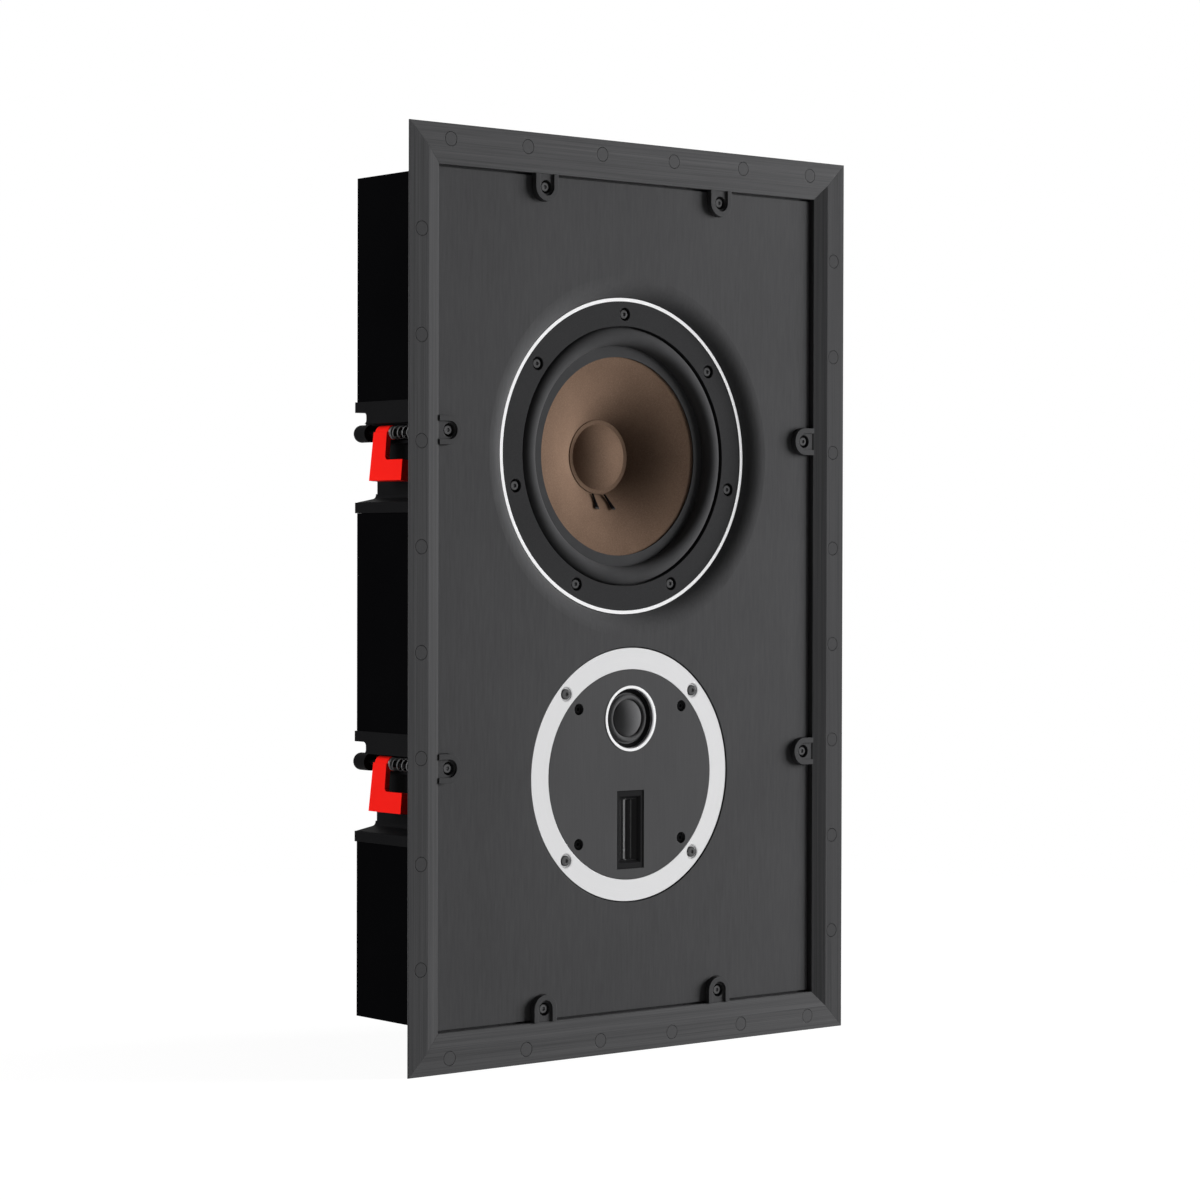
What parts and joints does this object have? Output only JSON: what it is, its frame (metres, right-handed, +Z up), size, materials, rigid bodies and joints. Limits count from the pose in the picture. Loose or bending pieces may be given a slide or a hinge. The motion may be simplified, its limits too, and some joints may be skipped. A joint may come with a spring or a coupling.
{
  "type": "in-wall speaker",
  "caption": "Two-way in-wall loudspeaker: a mitred metal frame round a baffle with a paper-cone woofer and a dome-and-ribbon tweeter, on a shallow closed box with swing-out wall clamps.",
  "frame": {"origin": "middle of the wall opening, on the plane of the wall's front, where the frame's flange rests", "axes": "+Z up the wall, +Y into the wall, +X to the listener's right; the front faces -Y"},
  "size_m": [0.405, 0.1109, 0.65],
  "materials": {
    "frame_anodised": "black anodised, brushed along each rail",
    "plain_aluminium": "mill finish",
    "magnet_black": "black coated, flush",
    "tab_paint": "satin dark grey",
    "black_screws": "black oxide, hex socket",
    "baffle_paint": "satin dark grey paint on board",
    "cabinet_black": "matt black on board",
    "trough_plastic": "fine moulded grain",
    "clamp_steel": "zinc plated",
    "spring_steel": "bright drawn wire",
    "dogleg_red": "red moulding",
    "bright_trim": "satin turned",
    "ring_plastic": "satin black",
    "cast_basket": "black coated casting",
    "surround_rubber": "smooth soft rubber",
    "cone_paper": "brown pulp with wood fibre",
    "coil_copper": "lacquered copper wire",
    "spider_cloth": "treated woven cloth",
    "motor_steel": "plated steel",
    "ferrite": "sintered ferrite",
    "lead_braid": "black braided lead",
    "tweeter_plate": "satin dark grey",
    "tweeter_casting": "black coated casting",
    "dome_textile": "coated black textile",
    "ribbon_bezel": "black moulding",
    "ribbon_film": "black film in two upright folds",
    "terminal_plastic": "black moulding",
    "post_red": "red insulated binding post",
    "post_black": "black insulated binding post",
    "circuit_board": "green circuit board",
    "capacitor_film": "wrapped film capacitor",
    "damping_felt": "grey felt"
  },
  "bodies": {
    "speaker": {"frame_rail_top": "frame_anodised", "frame_rail_bottom": "frame_anodised", "frame_rail_left": "frame_anodised", "frame_rail_right": "frame_anodised", "corner_keys": "plain_aluminium", "grille_magnets": "magnet_black", "retaining_tabs": "tab_paint", "tab_screws": "black_screws", "woofer_screws": "black_screws", "tweeter_ring_screws": "black_screws", "faceplate_screws": "black_screws", "front_baffle": "baffle_paint", "cabinet_box": "cabinet_black", "clamp_troughs": "trough_plastic", "clamp_spring_upper_left": "spring_steel", "clamp_spring_lower_left": "spring_steel", "clamp_spring_lower_right": "spring_steel", "clamp_spring_upper_right": "spring_steel", "woofer_trim_ring": "bright_trim", "tweeter_ring": "bright_trim", "dome_trim_ring": "bright_trim", "woofer_clamp_ring": "ring_plastic", "woofer_basket": "cast_basket", "woofer_surround": "surround_rubber", "crossover_coils": "coil_copper", "spider": "spider_cloth", "woofer_top_plate": "motor_steel", "woofer_yoke": "motor_steel", "dome_motor": "motor_steel", "woofer_magnet": "ferrite", "ribbon_magnets": "ferrite", "tweeter_faceplate": "tweeter_plate", "tweeter_chassis": "tweeter_casting", "dome_surround": "dome_textile", "ribbon_frame": "ribbon_bezel", "ribbon_foil": "ribbon_film", "terminal_cup": "terminal_plastic", "binding_post_red": "post_red", "binding_post_black": "post_black", "crossover_board": "circuit_board", "crossover_capacitors": "capacitor_film", "damping_pad": "damping_felt"},
    "woofer_diaphragm": {"woofer_cone": "cone_paper", "dust_cap": "cone_paper", "voice_coil": "coil_copper", "lead_wires": "lead_braid"},
    "dome_diaphragm": {"dome": "dome_textile", "dome_coil": "coil_copper"},
    "screw_upper_left": {"clamp_screw_upper_left": "black_screws"},
    "slide_upper_left": {"clamp_washer_upper_left": "clamp_steel"},
    "swing_upper_left": {"dogleg_upper_left": "dogleg_red"},
    "screw_lower_left": {"clamp_screw_lower_left": "black_screws"},
    "slide_lower_left": {"clamp_washer_lower_left": "clamp_steel"},
    "swing_lower_left": {"dogleg_lower_left": "dogleg_red"},
    "screw_lower_right": {"clamp_screw_lower_right": "black_screws"},
    "slide_lower_right": {"clamp_washer_lower_right": "clamp_steel"},
    "swing_lower_right": {"dogleg_lower_right": "dogleg_red"},
    "screw_upper_right": {"clamp_screw_upper_right": "black_screws"},
    "slide_upper_right": {"clamp_washer_upper_right": "clamp_steel"},
    "swing_upper_right": {"dogleg_upper_right": "dogleg_red"}
  },
  "joints": [
    {"name": "cone_stroke", "type": "slide", "parent": "speaker", "child": "woofer_diaphragm", "axis": [0, -1, 0], "range_m": [-0.005, 0.005], "stiffness_N_per_m": 1450, "deforming": ["woofer_surround", "spider"]},
    {"name": "dome_stroke", "type": "slide", "parent": "speaker", "child": "dome_diaphragm", "axis": [0, -1, 0], "range_m": [-0.0005, 0.0005], "stiffness_N_per_m": 400, "deforming": ["dome_surround"]},
    {"name": "turn_screw_upper_left", "type": "hinge", "parent": "speaker", "child": "screw_upper_left", "pos_m": [-0.1659, 0.05, 0.116], "axis": [0, 1, 0], "range_deg": [0, 5143]},
    {"name": "draw_clamp_upper_left", "type": "slide", "parent": "speaker", "child": "slide_upper_left", "axis": [0, -1, 0], "range_m": [0, 0.032], "deforming": ["clamp_spring_upper_left"]},
    {"name": "swing_dogleg_upper_left", "type": "hinge", "parent": "slide_upper_left", "child": "swing_upper_left", "pos_m": [-0.1659, 0.07, 0.116], "axis": [0, 1, 0], "range_deg": [-5, 85]},
    {"name": "turn_screw_lower_left", "type": "hinge", "parent": "speaker", "child": "screw_lower_left", "pos_m": [-0.1659, 0.05, -0.116], "axis": [0, 1, 0], "range_deg": [0, 5143]},
    {"name": "draw_clamp_lower_left", "type": "slide", "parent": "speaker", "child": "slide_lower_left", "axis": [0, -1, 0], "range_m": [0, 0.032], "deforming": ["clamp_spring_lower_left"]},
    {"name": "swing_dogleg_lower_left", "type": "hinge", "parent": "slide_lower_left", "child": "swing_lower_left", "pos_m": [-0.1659, 0.07, -0.116], "axis": [0, 1, 0], "range_deg": [-5, 85]},
    {"name": "turn_screw_lower_right", "type": "hinge", "parent": "speaker", "child": "screw_lower_right", "pos_m": [0.1659, 0.05, -0.116], "axis": [0, 1, 0], "range_deg": [0, 5143]},
    {"name": "draw_clamp_lower_right", "type": "slide", "parent": "speaker", "child": "slide_lower_right", "axis": [0, -1, 0], "range_m": [0, 0.032], "deforming": ["clamp_spring_lower_right"]},
    {"name": "swing_dogleg_lower_right", "type": "hinge", "parent": "slide_lower_right", "child": "swing_lower_right", "pos_m": [0.1659, 0.07, -0.116], "axis": [0, 1, 0], "range_deg": [-5, 85]},
    {"name": "turn_screw_upper_right", "type": "hinge", "parent": "speaker", "child": "screw_upper_right", "pos_m": [0.1659, 0.05, 0.116], "axis": [0, 1, 0], "range_deg": [0, 5143]},
    {"name": "draw_clamp_upper_right", "type": "slide", "parent": "speaker", "child": "slide_upper_right", "axis": [0, -1, 0], "range_m": [0, 0.032], "deforming": ["clamp_spring_upper_right"]},
    {"name": "swing_dogleg_upper_right", "type": "hinge", "parent": "slide_upper_right", "child": "swing_upper_right", "pos_m": [0.1659, 0.07, 0.116], "axis": [0, 1, 0], "range_deg": [-5, 85]}
  ],
  "couplings": [
    {"joint": "turn_screw_upper_left", "follows": "draw_clamp_upper_left", "rad_per_m": 2805},
    {"joint": "turn_screw_lower_left", "follows": "draw_clamp_lower_left", "rad_per_m": 2805},
    {"joint": "turn_screw_lower_right", "follows": "draw_clamp_lower_right", "rad_per_m": 2805},
    {"joint": "turn_screw_upper_right", "follows": "draw_clamp_upper_right", "rad_per_m": 2805}
  ]
}
